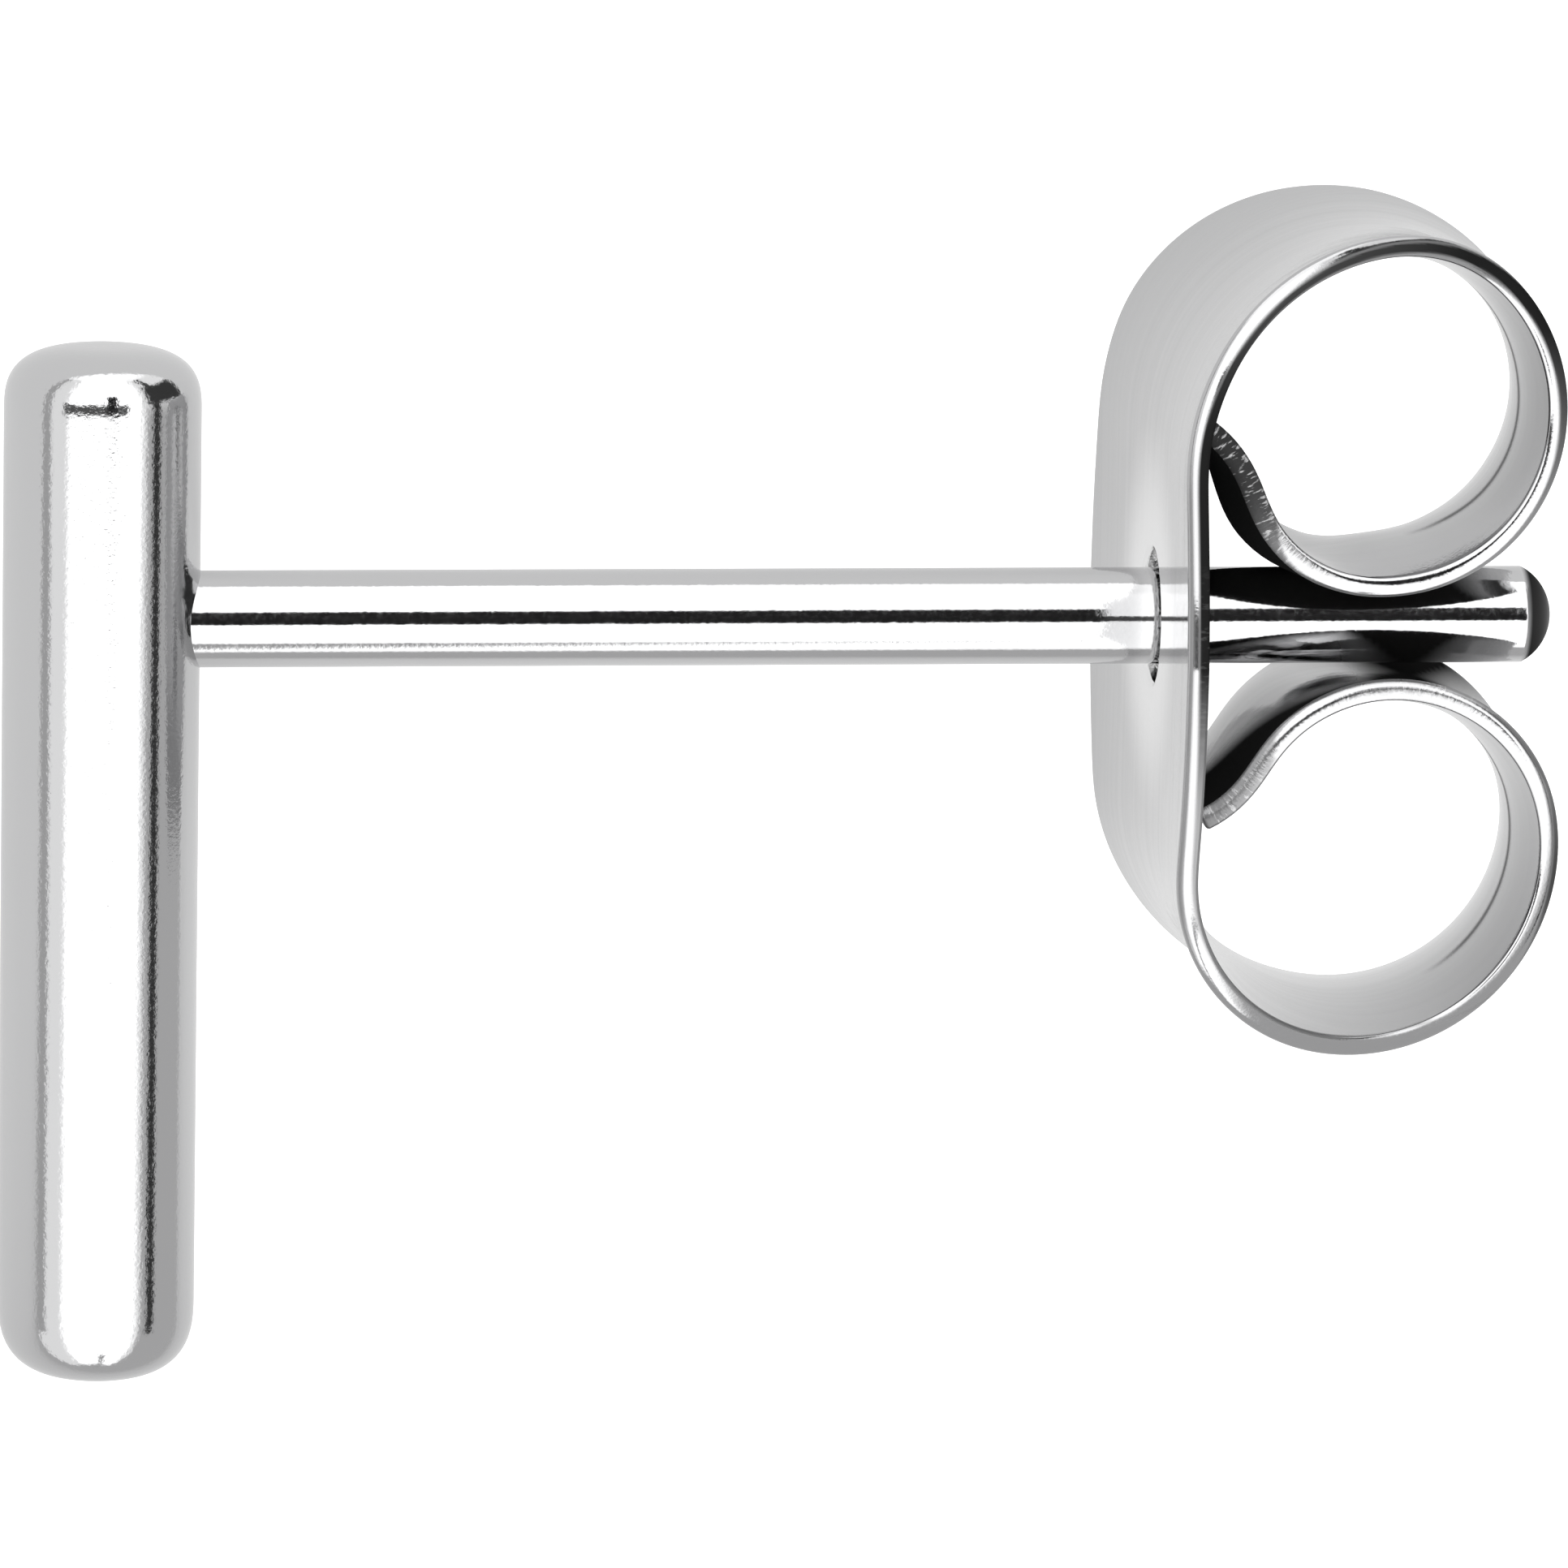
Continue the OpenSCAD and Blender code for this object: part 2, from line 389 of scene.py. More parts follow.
@dataclass
class Clutch:
    """The friction clutch: one sheet, its arms curled round beside the post. Sizes in mm.

    The hole's edge is a square block of the sheet's points, moved out to a circle; the points around it ease
    back to their own places by the field's border. rim is how far the sheared rim stands out, with its crown
    and its two corners. inner_shade_line is a painted dark reflection line on the arms' inner face and
    rim_shade_line a painted dark line on the plate's rim: each gives its place, width and darkness, and
    inner_shade_span and rim_shade_span say where it starts and stops along the sheet.
    """

    upper: Arm = Arm(
        plate_x=8.696,
        flat=1.456,
        radii=(2.25, 1.855, 1.578, 1.561, 1.21),
        turns=(17.2, 72.8, 91.5, 88.5, 72.8),
        end=0.65,
        end_turn=-37.7,
        widths=((0, 2.84), (0.6, 2.77), (1.2, 2.63), (1.8, 2.45), (2.4, 2.36), (3.0, 2.2), (3.8, 1.91),
                (4.6, 1.53), (5.6, 1.04), (6.8, 0.96), (8.4, 1.05), (11.5, 1.0)),
        dish=((0, 0.11, 0), (2, 0.11, 0), (4.5, 0.12, 0), (6.5, 0.12, 0), (8, 0.13, 0.6), (8.7, 0.18, 1),
              (9.5, 0.17, 1), (9.9, 0.05, 1), (10.15, -0.07, 1), (10.5, -0.13, 1), (10.9, -0.1, 1),
              (11.2, -0.06, 1), (11.6, -0.02, 1)),
        scored=((0, 0.1), (9.8, 0.1), (10.4, 1), (11.5, 1)),
        shade=((0, 0, -1, 0), (7.9, 0, -1, 0), (8.6, 2, -1, 0), (10.3, 2, -1, 0), (10.7, 2, -1, 2),
               (11.6, 2, -1, 2)),
        band=((0, 0.05, 1.2, 1), (2, 0.05, 1.2, 1), (3, 0.25, 1.0, 0.95), (4.2, -0.15, 0.8, 0.95),
              (5.2, -0.7, 0.55, 1), (6.2, -1.2, 0.3, 1), (7.2, -1.2, 0.0, 0.8), (8, -1.2, -0.4, 0.4),
              (9, -1.2, -0.6, 0.5), (9.9, -1.2, -0.75, 0.7), (10.35, -1.2, -0.6, 0.6),
              (10.75, -1.2, 1.2, 0.85), (11.5, -1.2, 1.2, 0.95)),
    )
    lower: Arm = Arm(
        plate_x=8.686,
        flat=1.768,
        radii=(1.6, 1.795, 1.678, 1.431, 1.356),
        turns=(15.0, 75.0, 97.3, 82.7, 62.4),
        end=0.59,
        end_turn=-38.5,
        widths=((0, 2.84), (0.6, 2.8), (1.2, 2.68), (1.8, 2.48), (2.4, 2.28), (3.0, 2.03), (3.8, 1.68),
                (4.6, 1.36), (5.6, 1.12), (6.8, 1.0), (8.4, 1.05), (11.5, 1.05)),
        dish=((0, 0.11, 0), (7.6, 0.11, 0), (8.6, 0.11, 1), (9.6, 0.08, 1), (10, 0, 1), (10.4, -0.09, 1),
              (11, -0.12, 1), (11.5, -0.04, 1)),
        scored=((0, 0.1), (8.4, 0.1), (9.0, 0.8), (9.8, 0.6), (10.3, 0.1), (10.6, 0.15), (11.0, 0.8),
                (11.5, 1)),
        shade=((0, 0, -1, 0), (7.9, 0, -1, 0), (8.6, 1, -1, 0), (9.1, 2, -0.2, 0), (9.5, 1.6, 0.1, 0),
               (9.8, 0.4, 0.2, 0), (10.1, 0, 0.25, 0), (10.6, 0, 0.45, 0), (11.1, 0.2, 0.75, 0),
               (11.5, 0.6, 1, 0)),
        band=((0, 0.05, 1.2, 1), (1.4, 0.3, 1.2, 0.5), (2.6, 0.6, 1.2, 0.6), (4, 0.7, 1.2, 0.7),
              (5, 0.8, 1.2, 0.3), (5.8, -1.2, -0.6, 0.4), (6.8, -1.2, -0.2, 0.9), (7.8, -1.2, -0.4, 0.7),
              (9, -1.2, -0.7, 0.5), (10, -1.2, -0.75, 0.5), (10.6, -1.2, -0.7, 0.4),
              (10.9, -1.2, 1.2, 0.35), (11.5, -1.2, 1.2, 0.6)),
    )
    sheet: float = 0.18
    hole_r: float = 0.57
    hole_block: float = 0.5
    hole_field: float = 1.3
    hole_ease: float = 1.35
    lip: float = 0.04
    rim: float = 0.06
    rim_crown: float = 0.1
    outer_corner: float = 0.08
    inner_corner: float = 0.03
    band_soft: float = 0.32
    edge_shade: float = 0.5
    near_soft: float = 0.35
    # Two painted dark lines: a painted reflection on the arms' inner faces, and one on the plate's rim.
    inner_shade_line: tuple[float, float, float] = (0.12, 0.05, 0.75)
    inner_shade_span: tuple[float, float] = (5.4, 9.0)
    rim_shade_line: tuple[float, float, float] = (-0.62, 0.2, 0.6)
    rim_shade_span: tuple[float, float] = (-2.6, 1.9)
    stripe_fade: float = 0.5
    end_round: float = 0.03
    end_cut: float = 0.9
    end_rows: int = 6
    spacing: float = 0.062
    across: int = 80
    rim_points: int = 18
    block_rows: int = 18

    def _line(self, s: Array) -> tuple[Array, Array, Array, Array]:
        """Place and inward normal of the outer face's line: the upper arm's for s over 0, else the lower's.

        Args:
            s: distance along the sheet from the post's axis.

        Returns:
            x, y, and the normal's x and y.
        """
        parts = []
        for arm, side in ((self.upper, 1.0), (self.lower, -1.0)):
            at, x, y, heading = arm.path()
            own = np.clip(s * side, 0.0, arm.length)
            turn = np.interp(own, at, heading)
            lean = arm.plate_x - (self.upper.plate_x + self.lower.plate_x) / 2
            shift = lean * (np.minimum(own / self.lower.flat, 1.0) - 1.0)
            place_x = np.interp(own, at, x) + shift
            place_y = side * np.interp(own, at, y)
            parts.append((place_x, place_y, np.cos(turn), -side * np.sin(turn)))
        above = s >= 0
        return tuple(np.where(above, up, down) for up, down in zip(*parts))

    def _by_arm(self, s: Array, name: str, column: int = 1) -> Array:
        """Reads a column of the named table of whichever arm s lies on."""
        up = eased(getattr(self.upper, name), np.abs(s), column)
        down = eased(getattr(self.lower, name), np.abs(s), column)
        return np.where(s >= 0, up, down)

    def _stations(self) -> Array:
        """Distances of the rows along the sheet: even steps, with close rows at both rounded ends.

        Returns:
            The distances, with a fixed number of rows on the hole's block.
        """
        b = self.hole_block
        tail = self.end_round * (1 - np.cos(np.linspace(0, math.pi / 2, self.end_rows)))
        middle = np.linspace(-b, b, self.block_rows + 1)

        def side(length: float) -> Array:
            """The rows of one arm beyond the block."""
            inner = length - self.end_round
            run = np.linspace(b, inner, int((inner - b) / self.spacing))
            return np.concatenate([run[1:-1], length - tail[::-1]])

        return np.concatenate([-side(self.lower.length)[::-1], middle, side(self.upper.length)])

    def _loop(self) -> tuple[Array, Array, Array]:
        """Cross-section of the sheet as one loop: outer face, rim, inner face, rim.

        Returns:
            For each point its place across from -1 to 1, how far it stands out on the rim from 0 to 1, and
            its place through the sheet from -1 (outer) to 1 (inner).
        """
        face = np.linspace(-1.0, 1.0, self.across + 1)
        first = 2 * self.outer_corner / self.sheet - 1
        last = 1 - 2 * self.inner_corner / self.sheet
        corner = self.inner_corner / self.rim
        third = self.rim_points // 3
        rise = np.radians(np.linspace(0, 90, third + 3)[1:])
        fall = np.radians(np.linspace(0, 90, third))
        level = np.linspace(first, last, third)[1:-1]
        outside = first - (1 + first) * np.cos(rise)
        inside = last + (1 - last) * np.sin(fall)
        through = np.concatenate([outside, level, inside])
        out = np.concatenate([np.sin(rise), np.ones_like(level), 1 - corner + corner * np.cos(fall)])
        out = out * (1 - self.rim_crown * (through - (first + last) / 2) ** 2)
        ones = np.ones_like(face)
        place = np.concatenate([face, np.ones_like(out), face[::-1], -np.ones_like(out)])
        stand = np.concatenate([0 * face, out, 0 * face, -out])
        depth = np.concatenate([-ones, through, ones, -through])
        return place, stand, depth

    def _opened(self, s: Array, w: Array, across: Array) -> tuple[Array, Array, Array]:
        """Spreads the points near the post so that a square block of them becomes the round hole's edge.

        A point at square distance m from the axis moves toward the circle on its own ray, all the way at the
        block and not at all at the field's border.

        Args:
            s: distance along the sheet.
            w: distance across the sheet.
            across: square coordinate across, in mm.

        Returns:
            New s and w, and the distance from the hole's edge.
        """
        m = np.maximum(np.abs(s), np.abs(across))
        t = np.clip((m - self.hole_block) / (self.hole_field - self.hole_block), 0.0, 1.0)
        ease = t**self.hole_ease
        angle = np.arctan2(across, s)
        new_s = (1 - ease) * self.hole_r * np.cos(angle) + ease * s
        new_w = (1 - ease) * self.hole_r * np.sin(angle) + ease * w
        near = m < self.hole_field
        new_s, new_w = np.where(near, new_s, s), np.where(near, new_w, w)
        return new_s, new_w, np.hypot(new_s, new_w) - self.hole_r

    def surface(self) -> Surface:
        """The whole sheet: its section carried along the bent line, dished, bored and closed at both ends.

        Across the sheet the dish is depth * (1 - ratio^2), where ratio is the place across over the half
        width, and the faces are set off from it along its own normal.

        Returns:
            The closed surface; its cut value says how far the sheared rims and ends are scored.
        """
        s = self._stations()
        place, stand, depth = self._loop()
        rows, loop = len(s), len(place)
        half = self._by_arm(s, "widths")[:, None]
        dish = self._by_arm(s, "dish")[:, None]
        leaning = 1 - self._by_arm(s, "dish", 2)[:, None] * np.abs(stand)
        to_end = np.minimum(s - s[0], s[-1] - s)[:, None]
        short = np.clip(self.end_round - to_end, 0.0, self.end_round)
        inset = self.end_round - np.sqrt(self.end_round**2 - short**2)
        flat_half = half - self.rim - inset
        base_w = place * flat_half + 0 * s[:, None]
        base_s = np.broadcast_to(s[:, None], base_w.shape)
        square = place * self._by_arm(np.zeros(1), "widths")[0] + 0 * base_w
        new_s, new_w, off = self._opened(base_s, base_w, square)
        on_face = (stand == 0)[None, :]
        new_s = np.where(on_face, new_s, base_s)
        new_w = np.where(on_face, new_w, base_w)
        ratio = new_w / half
        bowl = dish * (1 - ratio**2)
        slope = -2 * dish * ratio / half
        norm = np.sqrt(1 + slope**2)
        rolled = np.clip(1 - off / self.lip, 0.0, 1.0)
        lip = self.lip * (1 - np.sqrt(1 - rolled**2)) * on_face
        thick = self.sheet / 2 - inset - lip
        w = new_w + stand * self.rim / norm - leaning * depth * thick * slope / norm
        n = bowl + self.sheet / 2 + stand * self.rim * slope / norm + depth * thick / norm
        x, y, nx, ny = self._line(new_s)
        points = np.stack([x + nx * n, y + ny * n, w], 2)
        index = np.arange(rows * loop).reshape(rows, loop)
        nxt = np.roll(index, -1, 1)
        quads = np.stack([index[:-1], nxt[:-1], nxt[1:], index[1:]], 2)
        keep, walls = self._hole(s, square[0], index)
        scored = np.clip(self._by_arm(s, "scored"), 0.0, 1.0)[:, None]
        cut = np.where(on_face, 0.0, scored) + (inset >= self.end_cut * self.end_round)
        uv = np.stack([new_s, new_w + depth * self.sheet * np.where(on_face, 0.0, 1.0)], 2)
        faces = [quads[keep], walls, *self._ends(index)]
        # Painted shade and painted reflections, set by place along the sheet and through it.
        dark = self._shading(s, depth, on_face, ratio)
        return Surface(points.reshape(-1, 3), faces, uv.reshape(-1, 2), cut.ravel(), dark.ravel())

    def _shading(self, s: Array, depth: Array, on_face: Array, ratio: Array) -> Array:
        """Painted shade at each point: the faces by their tables, the rims where the band lies, with soft
        borders.

        Args:
            s: the rows' distances along the sheet.
            depth: the columns' places through the sheet.
            on_face: which columns lie on a face.
            ratio: each point's place across, from -1 to 1.

        Returns:
            A value from 0 to 1 for each point.
        """
        outer, near, inner = (self._by_arm(s, "shade", i)[:, None] for i in (1, 2, 3))
        start, stop, most = (self._by_arm(s, "band", i)[:, None] for i in (1, 2, 3))
        toward_rim = 1 - self.edge_shade * np.clip(1 - ratio**2, 0.0, 1.0)
        reach = np.clip((ratio - 1 + near) / self.near_soft + 0.5, 0.0, 1.0)
        line = self._stripe(ratio, np.abs(s)[:, None], self.inner_shade_line, self.inner_shade_span)
        outside = np.maximum(outer * toward_rim, reach)
        face = np.where(depth < 0, outside, np.maximum(inner * toward_rim, line))
        inside = np.clip((depth - start) / self.band_soft + 0.5, 0.0, 1.0)
        inside = inside * np.clip((stop - depth) / self.band_soft + 0.5, 0.0, 1.0) * np.clip(most, 0.0, 1.0)
        rim_shade_line = self._stripe(depth[None, :], s[:, None], self.rim_shade_line, self.rim_shade_span)
        return np.clip(np.where(on_face, face, np.maximum(inside, rim_shade_line)), 0.0, 1.0)

    def _stripe(
        self, across: Array, along: Array, shape: tuple[float, float, float], span: tuple[float, float]
    ) -> Array:
        """A thin soft stripe: a bell curve across, kept between two distances along with eased ends.

        Args:
            across: coordinate across the stripe.
            along: coordinate along it.
            shape: its place across, its width and its darkness.
            span: where it starts and stops along.

        Returns:
            The stripe's darkness at each point.
        """
        place, width, most = shape
        begun = np.clip((along - span[0]) / self.stripe_fade, 0.0, 1.0)
        inside = begun * np.clip((span[1] - along) / self.stripe_fade, 0.0, 1.0)
        return most * np.exp(-(((across - place) / width) ** 2)) * inside

    def _hole(self, s: Array, square: Array, index: Array) -> tuple[Array, Array]:
        """Drops the faces inside the hole and joins its two edges by a wall.

        Args:
            s: the rows' distances along the sheet.
            square: the columns' square coordinates across.
            index: point numbers by row and column.

        Returns:
            Which faces stay, and the wall's faces.
        """
        slack = 1e-6
        width = self.across + 1
        rows = np.flatnonzero(np.abs(s) <= self.hole_block + slack)
        cols = np.flatnonzero(np.abs(square[:width]) <= self.hole_block + slack)
        keep = np.ones((len(s) - 1, index.shape[1]), bool)
        keep[rows[0]: rows[-1], cols[0]: cols[-1]] = False
        back = width + self.rim_points
        mirrored = back + (self.across - cols[::-1])
        keep[rows[0]: rows[-1], mirrored[0]: mirrored[-1]] = False
        ring_rows = np.concatenate([np.full(len(cols) - 1, rows[0]), rows[:-1],
                                    np.full(len(cols) - 1, rows[-1]), rows[:0:-1]])
        ring_cols = np.concatenate([cols[:-1], np.full(len(rows) - 1, cols[-1]),
                                    cols[:0:-1], np.full(len(rows) - 1, cols[0])])
        front = index[ring_rows, ring_cols]
        rear = index[ring_rows, back + self.across - ring_cols]
        walls = np.stack([front, rear, np.roll(rear, -1), np.roll(front, -1)], 1)
        return keep, walls

    def _ends(self, index: Array) -> list[Array]:
        """Closes both ends: point i of the loop, counted from the middle of a rim, is paired with its mirror.

        Args:
            index: point numbers by row and column.

        Returns:
            The two ends' faces.
        """
        loop = index.shape[1]
        order = np.roll(np.arange(loop), self.rim_points // 2)
        i = np.arange(loop // 2 - 1)
        quad = np.stack([order[i], order[i + 1], order[loop - 2 - i], order[loop - 1 - i]], 1)
        return [index[0][quad[:, ::-1]], index[-1][quad]]

    def build(self, finish: "PressedSheet") -> None:
        """Makes the clutch in its finish."""
        self.hole_block = self._snap()
        self.surface().build("clutch_sheet", Part.CLUTCH, Body.BACK, finish.material())

    def _snap(self) -> float:
        """The hole's block, moved to the nearest column of points across the plate."""
        pitch = 2 * self.upper.widths[0][1] / self.across
        return round(self.hole_block / pitch) * pitch


class Graph:
    """A short way to write node trees: every call adds a node, sets its inputs and gives back its output."""

    def __init__(self, tree: bpy.types.NodeTree) -> None:
        """Starts on a tree."""
        self.tree = tree

    def node(self, kind: str, **settings: object) -> bpy.types.Node:
        """Adds a node and sets its properties."""
        made = self.tree.nodes.new(kind)
        for key, value in settings.items():
            setattr(made, key, value)
        return made

    def feed(self, socket: Socket, value: object) -> None:
        """Links a socket, or sets its value where it is given a plain one."""
        if isinstance(value, bpy.types.NodeSocket):
            self.tree.links.new(value, socket)
        else:
            socket.default_value = value

    def math(self, operation: str, *values: object) -> Socket:
        """A Math node on up to three values."""
        made = self.node("ShaderNodeMath", operation=operation)
        for i, value in enumerate(values):
            self.feed(made.inputs[i], value)
        return made.outputs[0]

    def vector(self, operation: str, *values: object) -> bpy.types.Node:
        """A Vector Math node on up to two values."""
        made = self.node("ShaderNodeVectorMath", operation=operation)
        for i, value in enumerate(values):
            self.feed(made.inputs[i], value)
        return made

    def ramp(
        self, value: Socket, low: float, high: float, to_low: float = 0.0, to_high: float = 1.0
    ) -> Socket:
        """A smooth step from to_low at low to to_high at high."""
        made = self.node("ShaderNodeMapRange", interpolation_type="SMOOTHSTEP")
        for i, part in enumerate((value, low, high, to_low, to_high)):
            self.feed(made.inputs[i], part)
        return made.outputs[0]

    def noise(self, where: Socket, scale: float, detail: float = 2.0) -> Socket:
        """A Noise texture's value."""
        made = self.node("ShaderNodeTexNoise")
        self.feed(made.inputs["Vector"], where)
        made.inputs["Scale"].default_value = scale
        made.inputs["Detail"].default_value = detail
        return made.outputs["Fac"]

    def blend(self, share: Socket, first: object, second: object) -> Socket:
        """A colour that goes from the first at 0 to the second at 1."""
        made = self.node("ShaderNodeMix", data_type="RGBA")
        for i, value in ((0, share), (6, first), (7, second)):
            self.feed(made.inputs[i], value)
        return made.outputs[2]

    def darkened(self, shader: bpy.types.Node, color: object, shade_color: Color, kept: object = 1.0) -> None:
        """Paints shade on a metal: its colour goes to a flat dark one by the piece's own "dark" values.

        Args:
            shader: the material's shader.
            color: the metal's colour.
            shade_color: the painted shade's colour, where the value is 1, where nothing is mirrored.
            kept: how much of the darkness stays.
        """
        painted = self.node("ShaderNodeAttribute", attribute_name="dark").outputs["Fac"]
        dark = self.math("MULTIPLY", painted, kept)
        self.feed(shader.inputs["Base Color"], self.blend(dark, color, shade_color))
        self.feed(shader.inputs["Metallic"], self.math("SUBTRACT", 1.0, dark))
        shader.inputs["Specular IOR Level"].default_value = 0.0


@dataclass(frozen=True)
class Grain:
    """The faint pits and ripple that polishing leaves, as one node group shared by both finishes."""

    name: str = "polish_grain"

    def group(self) -> bpy.types.NodeTree:
        """The group: a height from a fine and a broad noise, and the fine noise as a mask for the roughness.

        Returns:
            The node group, made once.
        """
        if self.name in bpy.data.node_groups:
            return bpy.data.node_groups[self.name]
        tree = bpy.data.node_groups.new(self.name, "ShaderNodeTree")
        for label, kind, default in (("Fine", "NodeSocketFloat", 40.0), ("Broad", "NodeSocketFloat", 2.0),
                                     ("Ripple", "NodeSocketFloat", 1.0)):
            tree.interface.new_socket(label, in_out="INPUT", socket_type=kind).default_value = default
        tree.interface.new_socket("Height", in_out="OUTPUT", socket_type="NodeSocketFloat")
        tree.interface.new_socket("Mask", in_out="OUTPUT", socket_type="NodeSocketFloat")
        graph = Graph(tree)
        inputs = graph.node("NodeGroupInput")
        outputs = graph.node("NodeGroupOutput")
        where = graph.vector("SCALE", graph.node("ShaderNodeTexCoord").outputs["Object"]).outputs[0]
        where.node.inputs["Scale"].default_value = 1 / MM
        fine = graph.noise(where, 1.0, 3.0)
        graph.feed(fine.node.inputs["Scale"], inputs.outputs["Fine"])
        broad = graph.noise(where, 1.0, 1.0)
        graph.feed(broad.node.inputs["Scale"], inputs.outputs["Broad"])
        swell = graph.math("MULTIPLY", broad, inputs.outputs["Ripple"])
        graph.feed(outputs.inputs["Height"], graph.math("ADD", fine, swell))
        graph.feed(outputs.inputs["Mask"], fine)
        return tree

    def place(self, graph: Graph, fine: float, broad: float, ripple: float) -> bpy.types.Node:
        """Puts the group into a material with that material's own sizes."""
        made = graph.node("ShaderNodeGroup", node_tree=self.group())
        for label, value in (("Fine", fine), ("Broad", broad), ("Ripple", ripple)):
            made.inputs[label].default_value = value
        return made


@dataclass(frozen=True)
class PolishedSteel:
    """Mirror-polished steel, with a fine grain that breaks up the edges of dark reflections.

    fine and broad are the grain's two scales per mm, ripple the broad one's share, height its depth in mm.
    darkens says that the piece carries "dark" values, painted shade and painted reflection.
    """

    name: str = "polished_steel"
    color: Color = (0.56, 0.56, 0.565, 1.0)
    # Colour of the painted shade, flat and dark.
    shade_color: Color = (0.02, 0.02, 0.02, 1.0)
    rough: tuple[float, float] = (0.05, 0.1)
    fine: float = 30.0
    broad: float = 1.4
    ripple: float = 0.8
    height: float = 0.0014
    darkens: bool = False

    def material(self) -> bpy.types.Material:
        """The material: metal, its roughness and bump from the shared grain."""
        made = bpy.data.materials.new(self.name)
        made.use_nodes = True
        graph = Graph(made.node_tree)
        shader = made.node_tree.nodes["Principled BSDF"]
        grain = Grain().place(graph, self.fine, self.broad, self.ripple)
        if self.darkens:
            graph.darkened(shader, self.color, self.shade_color)
        else:
            shader.inputs["Base Color"].default_value = self.color
            shader.inputs["Metallic"].default_value = 1.0
        graph.feed(shader.inputs["Roughness"], graph.ramp(grain.outputs["Mask"], *GRAIN_SPAN, *self.rough))
        bump = graph.node("ShaderNodeBump")
        bump.inputs["Strength"].default_value = 1.0
        bump.inputs["Distance"].default_value = self.height * MM
        graph.feed(bump.inputs["Height"], grain.outputs["Height"])
        graph.feed(shader.inputs["Normal"], bump.outputs[0])
        return made


@dataclass(frozen=True)
class PressedSheet:
    """Polished steel sheet whose sheared rims and ends are scored across by the tool.

    painted_highlight is a painted highlight round the hole, a lighter colour, and painted_highlight_reach
    where it starts and stops to fade, in mm from the hole's middle. glint is the stretch of the scores' noise
    where the painted shade gives way to bare metal, and drawn the faint lines along the sheet.
    """

    name: str = "pressed_sheet"
    # Painted shade: the sheet is the bar's steel set a little darker.
    color: Color = (0.49, 0.49, 0.495, 1.0)
    # Painted highlight: a lighter colour round the hole.
    painted_highlight: Color = (0.84, 0.84, 0.84, 1.0)
    painted_highlight_reach: tuple[float, float] = (0.7, 1.75)
    # Colour of the painted shade, flat and dark.
    shade_color: Color = (0.012, 0.012, 0.012, 1.0)
    rough: tuple[float, float] = (0.06, 0.12)
    cut_rough: float = 0.3
    fine: float = 40.0
    broad: float = 1.1
    ripple: float = 5.0
    height: float = 0.0006
    score_scale: float = 34.0
    score_stretch: tuple[float, float, float] = (1.0, 0.12, 1.0)
    score_height: float = 0.004
    glint: tuple[float, float] = (0.54, 0.64)
    glint_level: float = 0.7
    drawn_scale: tuple[float, float, float] = (0.06, 2.6, 1.0)
    drawn_height: float = 0.006

    def material(self) -> bpy.types.Material:
        """The material: polished faces, and where the cut value is 1 a rougher scored finish."""
        made = bpy.data.materials.new(self.name)
        made.use_nodes = True
        graph = Graph(made.node_tree)
        shader = made.node_tree.nodes["Principled BSDF"]
        grain = Grain().place(graph, self.fine, self.broad, self.ripple)
        cut = graph.node("ShaderNodeAttribute", attribute_name="cut").outputs["Fac"]
        sheet = graph.node("ShaderNodeUVMap", uv_map="sheet").outputs[0]
        along = graph.vector("MULTIPLY", sheet, self.score_stretch).outputs[0]
        score = graph.noise(along, self.score_scale, 3.0)
        polished = graph.ramp(grain.outputs["Mask"], *GRAIN_SPAN, *self.rough)
        extra = graph.math("MULTIPLY", cut, graph.math("MULTIPLY", score, self.cut_rough))
        glint = graph.math("MULTIPLY", cut, graph.ramp(score, *self.glint, 0.0, self.glint_level))
        # Painted highlight round the hole, then painted shade from the "dark" values, lifted where the scores
        # glint.
        far = graph.ramp(graph.vector("LENGTH", sheet).outputs["Value"], *self.painted_highlight_reach)
        face = graph.blend(far, self.painted_highlight, self.color)
        graph.darkened(shader, face, self.shade_color, graph.math("SUBTRACT", 1.0, glint))
        graph.feed(shader.inputs["Roughness"], graph.math("ADD", polished, extra))
        scored = graph.math("MULTIPLY", graph.math("MULTIPLY", cut, score), self.score_height / self.height)
        drawn = graph.noise(graph.vector("MULTIPLY", sheet, self.drawn_scale).outputs[0], 1.0, 2.0)
        relief = graph.math("ADD", scored, graph.math("MULTIPLY", drawn, self.drawn_height / self.height))
        bump = graph.node("ShaderNodeBump")
        bump.inputs["Strength"].default_value = 1.0
        bump.inputs["Distance"].default_value = self.height * MM
        graph.feed(bump.inputs["Height"], graph.math("ADD", grain.outputs["Height"], relief))
        graph.feed(shader.inputs["Normal"], bump.outputs[0])
        return made


@dataclass(frozen=True)
class Patch:
    """A soft-edged stretch of the surrounding light, in degrees round the bar and toward the bar's top."""

    level: float
    side: tuple[float, float] = (-180.0, 180.0)
    up: tuple[float, float] = (-180.0, 180.0)
    soft: float = 4.0


